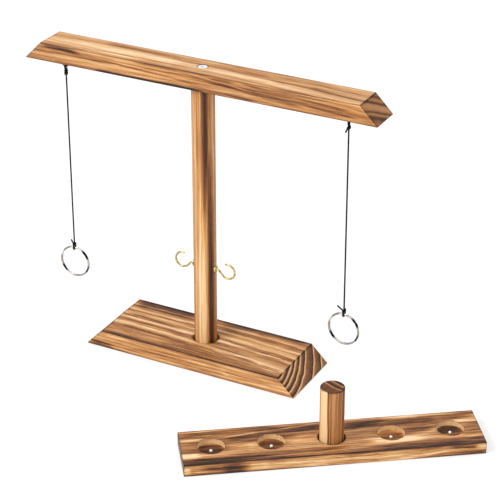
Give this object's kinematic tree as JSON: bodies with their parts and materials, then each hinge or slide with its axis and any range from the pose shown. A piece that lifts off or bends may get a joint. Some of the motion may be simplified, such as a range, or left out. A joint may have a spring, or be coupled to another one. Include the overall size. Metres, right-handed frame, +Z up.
{
  "type": "tabletop ring swing game",
  "caption": "Tabletop hook-and-ring game: wooden T stand, a ring hanging on a cord each side, a cup hook each side of the post, and a drilled scoring board with a marker peg.",
  "frame": {"origin": "post axis on the underside of the base block, on the table", "axes": "+X along the crossbeam towards the ladder's side, +Y away from the ladder board, +Z up"},
  "size_m": [0.4917, 0.2357, 0.302],
  "materials": {
    "beam_wood": "torched pine, oiled",
    "post_wood": "torched dowel, oiled",
    "base_wood": "torched pine, oiled",
    "ladder_wood": "dark torched pine, oiled",
    "peg_wood": "torched dowel, oiled",
    "screw_steel": "zinc plated",
    "ring_steel": "nickel plated, bright",
    "hook_brass": "brass plated, bright",
    "insert_brass": "plain",
    "cord_black": "braided cord, matt"
  },
  "bodies": {
    "stand": {"base_block": "base_wood", "post": "post_wood", "crossbeam": "beam_wood", "top_screw": "screw_steel", "bottom_screw": "screw_steel", "top_insert": "insert_brass", "bottom_insert": "insert_brass", "left_screw_eye": "screw_steel", "left_cup_hook": "hook_brass", "left_hook_collar": "hook_brass", "right_screw_eye": "screw_steel", "right_cup_hook": "hook_brass", "right_hook_collar": "hook_brass"},
    "left_hitch": {"left_eye_loop": "cord_black", "left_upper_knot": "cord_black"},
    "left_line": {"left_cord": "cord_black"},
    "left_tie": {"left_lower_knot": "cord_black", "left_ring_loop": "cord_black"},
    "left_ring": {"left_ring": "ring_steel"},
    "right_hitch": {"right_eye_loop": "cord_black", "right_upper_knot": "cord_black"},
    "right_line": {"right_cord": "cord_black"},
    "right_tie": {"right_lower_knot": "cord_black", "right_ring_loop": "cord_black"},
    "right_ring": {"right_ring": "ring_steel"},
    "ladder": {"ladder_board": "ladder_wood", "recess_tacks": "screw_steel"},
    "marker": {"marker_peg": "peg_wood"}
  },
  "joints": [
    {"name": "left_swing", "type": "hinge", "parent": "stand", "child": "left_hitch", "pos_m": [-0.149, 0, 0.2786], "axis": [0, 1, 0], "range_deg": [-27, 75]},
    {"name": "left_sway", "type": "hinge", "parent": "left_hitch", "child": "left_line", "pos_m": [-0.149, 0, 0.2671], "axis": [1, 0, 0], "range_deg": [-75, 75]},
    {"name": "left_twist", "type": "hinge", "parent": "left_line", "child": "left_tie", "pos_m": [-0.149, 0, 0.08565], "axis": [0, 0, 1], "range_deg": [-90, 90]},
    {"name": "left_ring_flip", "type": "hinge", "parent": "left_tie", "child": "left_ring", "pos_m": [-0.149, 0, 0.08195], "axis": [1, 0, 0], "range_deg": [-75, 75]},
    {"name": "right_swing", "type": "hinge", "parent": "stand", "child": "right_hitch", "pos_m": [0.1475, 0, 0.2818], "axis": [0, -1, 0], "range_deg": [-27, 75]},
    {"name": "right_sway", "type": "hinge", "parent": "right_hitch", "child": "right_line", "pos_m": [0.1475, 0, 0.2702], "axis": [1, 0, 0], "range_deg": [-75, 75]},
    {"name": "right_twist", "type": "hinge", "parent": "right_line", "child": "right_tie", "pos_m": [0.1475, 0, 0.08565], "axis": [0, 0, 1], "range_deg": [-90, 90]},
    {"name": "right_ring_flip", "type": "hinge", "parent": "right_tie", "child": "right_ring", "pos_m": [0.1475, 0, 0.08195], "axis": [0.9969, -0.0785, 0], "range_deg": [-75, 75]},
    {"name": "ladder_lift", "type": "slide", "parent": "stand", "child": "ladder", "axis": [0, 0, 1], "range_m": [0, 0.08]},
    {"name": "peg_lift", "type": "slide", "parent": "ladder", "child": "marker", "axis": [0, 0, 1], "range_m": [0, 0.06]}
  ]
}
